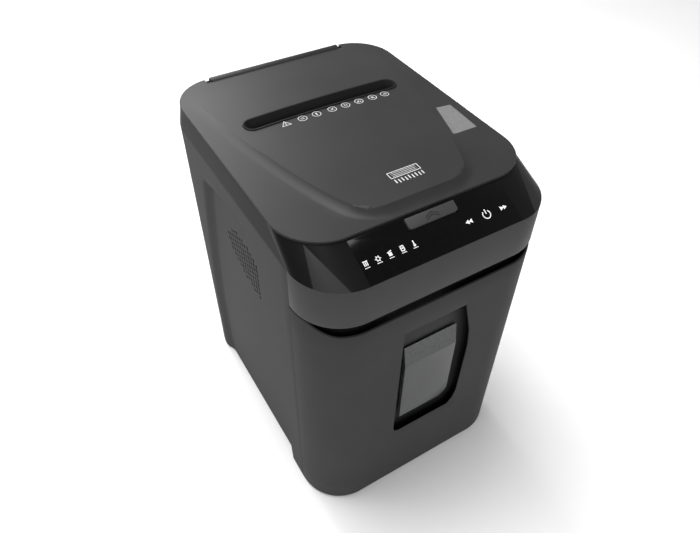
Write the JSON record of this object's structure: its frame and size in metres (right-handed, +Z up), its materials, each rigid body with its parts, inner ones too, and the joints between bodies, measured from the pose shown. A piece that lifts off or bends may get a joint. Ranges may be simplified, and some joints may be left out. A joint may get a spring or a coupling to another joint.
{
  "type": "paper shredder",
  "caption": "Free-standing cross-cut office shredder with a stack-fed tray under a hinged lid, hand-feed slot, touch controls and pull-out waste bin.",
  "frame": {"origin": "on the floor at the centre of the plan outline", "axes": "+Z up; the front, with the bin window and the controls, faces -Y; +X is to the viewer's right when facing the front"},
  "size_m": [0.364, 0.47, 0.5481],
  "materials": {
    "charcoal_abs": "fine moulded texture, satin",
    "dark_abs": "fine moulded texture, satin",
    "gloss_black_abs": "polished moulding",
    "touch_glass": "printed gloss panel",
    "button_abs": "satin",
    "grey_label": "plain printed label",
    "smoked_window": "smoked clear plastic",
    "rubber": "matt rubber",
    "steel": "cold rolled sheet and ground steel",
    "zinc": "zinc plated",
    "cast_zinc": "sintered metal",
    "bronze": "sintered bronze",
    "acetal": "natural moulded acetal",
    "circuit_board": "solder mask"
  },
  "bodies": {
    "housing": {"base_tray": "dark_abs", "rubber_feet": "rubber", "bin_rails": "acetal", "left_side_panel": "charcoal_abs", "right_side_panel": "charcoal_abs", "rear_panel": "charcoal_abs", "rear_screws": "zinc", "deck_plate": "steel", "grip_channel": "dark_abs", "head_front_cover": "dark_abs", "control_bezel": "gloss_black_abs", "touch_panel": "touch_glass", "control_board": "circuit_board", "upper_frame": "dark_abs", "feed_tray": "charcoal_abs", "paper_guides": "dark_abs", "front_throat_guide": "steel", "rear_throat_guide": "steel", "left_cutter_plate": "steel", "right_cutter_plate": "steel", "tie_bars": "zinc", "front_stripper_comb": "acetal", "rear_stripper_comb": "acetal", "cutter_bearings": "bronze", "feed_bushes": "bronze", "idler_axles": "zinc", "motor_can": "steel", "motor_flange": "cast_zinc", "main_board": "circuit_board", "paper_sensor": "dark_abs", "bin_switch": "dark_abs", "power_inlet": "dark_abs", "hinge_brackets": "dark_abs", "hinge_pins": "zinc"},
    "lid": {"lid_shell": "charcoal_abs", "lid_liner": "dark_abs", "slot_chute": "dark_abs", "lid_label": "grey_label", "lid_striker": "zinc", "pressure_springs": "zinc"},
    "pressure_plate": {"pressure_plate": "charcoal_abs"},
    "push_button": {"push_button": "button_abs"},
    "lid_latch": {"lid_latch": "acetal"},
    "bin": {"bin_front": "charcoal_abs", "bin_tub": "dark_abs", "bin_window": "smoked_window"},
    "front_cutter": {"front_cutter": "steel", "front_sync_gear": "cast_zinc", "cutter_gear": "cast_zinc"},
    "rear_cutter": {"rear_cutter": "steel", "rear_sync_gear": "cast_zinc"},
    "compound_gear": {"compound_gear": "acetal"},
    "motor_rotor": {"motor_rotor": "steel"},
    "front_feed_roller": {"front_feed_axle": "zinc", "front_feed_rollers": "rubber"},
    "rear_feed_roller": {"rear_feed_axle": "zinc", "rear_feed_rollers": "rubber"},
    "front_feed_idler": {"front_feed_idler": "acetal"},
    "rear_feed_idler": {"rear_feed_idler": "acetal"},
    "power_rocker": {"power_rocker": "button_abs"}
  },
  "joints": [
    {"name": "lid_hinge", "type": "hinge", "parent": "housing", "child": "lid", "pos_m": [0, 0.2245, 0.5336], "axis": [-1, 0, 0], "range_deg": [0, 75]},
    {"name": "press_slide", "type": "slide", "parent": "lid", "child": "pressure_plate", "axis": [0, 0, 1], "range_m": [0, 0.01], "stiffness_N_per_m": 150, "springref_m": -0.01, "deforming": ["pressure_springs"]},
    {"name": "button_press", "type": "slide", "parent": "housing", "child": "push_button", "axis": [0, 0.4538, -0.8911], "range_m": [0, 0.0025], "stiffness_N_per_m": 400, "springref_m": -0.002},
    {"name": "latch_pivot", "type": "hinge", "parent": "housing", "child": "lid_latch", "pos_m": [0, -0.172, 0.5061], "axis": [1, 0, 0], "range_deg": [0, 8]},
    {"name": "bin_slide", "type": "slide", "parent": "housing", "child": "bin", "axis": [0, -1, 0], "range_m": [0, 0.32]},
    {"name": "front_cutter_spin", "type": "hinge", "parent": "housing", "child": "front_cutter", "pos_m": [0, 0.053, 0.4521], "axis": [1, 0, 0], "continuous": true},
    {"name": "rear_cutter_spin", "type": "hinge", "parent": "housing", "child": "rear_cutter", "pos_m": [0, 0.093, 0.4521], "axis": [1, 0, 0], "continuous": true},
    {"name": "compound_spin", "type": "hinge", "parent": "housing", "child": "compound_gear", "pos_m": [0.1345, -0.003, 0.4521], "axis": [1, 0, 0], "continuous": true},
    {"name": "motor_spin", "type": "hinge", "parent": "housing", "child": "motor_rotor", "pos_m": [0.06, -0.0555, 0.4521], "axis": [1, 0, 0], "continuous": true},
    {"name": "front_idler_spin", "type": "hinge", "parent": "housing", "child": "front_feed_idler", "pos_m": [-0.1285, 0.01972, 0.45906], "axis": [1, 0, 0], "continuous": true},
    {"name": "front_feed_spin", "type": "hinge", "parent": "housing", "child": "front_feed_roller", "pos_m": [0, 0.027, 0.4861], "axis": [1, 0, 0], "continuous": true},
    {"name": "rear_idler_spin", "type": "hinge", "parent": "housing", "child": "rear_feed_idler", "pos_m": [-0.1285, 0.12628, 0.45906], "axis": [1, 0, 0], "continuous": true},
    {"name": "rear_feed_spin", "type": "hinge", "parent": "housing", "child": "rear_feed_roller", "pos_m": [0, 0.119, 0.4861], "axis": [1, 0, 0], "continuous": true},
    {"name": "power_rocker_tilt", "type": "hinge", "parent": "housing", "child": "power_rocker", "pos_m": [0.024, 0.231, 0.4561], "axis": [1, 0, 0], "range_deg": [0, 14]}
  ],
  "couplings": [
    {"joint": "latch_pivot", "follows": "button_press", "rad_per_m": 55.8},
    {"joint": "rear_cutter_spin", "follows": "front_cutter_spin", "ratio": -1},
    {"joint": "compound_spin", "follows": "front_cutter_spin", "ratio": -2.5},
    {"joint": "motor_spin", "follows": "front_cutter_spin", "ratio": 10},
    {"joint": "front_idler_spin", "follows": "front_cutter_spin", "ratio": -1.4286},
    {"joint": "front_feed_spin", "follows": "front_cutter_spin", "ratio": 1.4286},
    {"joint": "rear_idler_spin", "follows": "front_cutter_spin", "ratio": 1.4286},
    {"joint": "rear_feed_spin", "follows": "front_cutter_spin", "ratio": -1.4286}
  ]
}
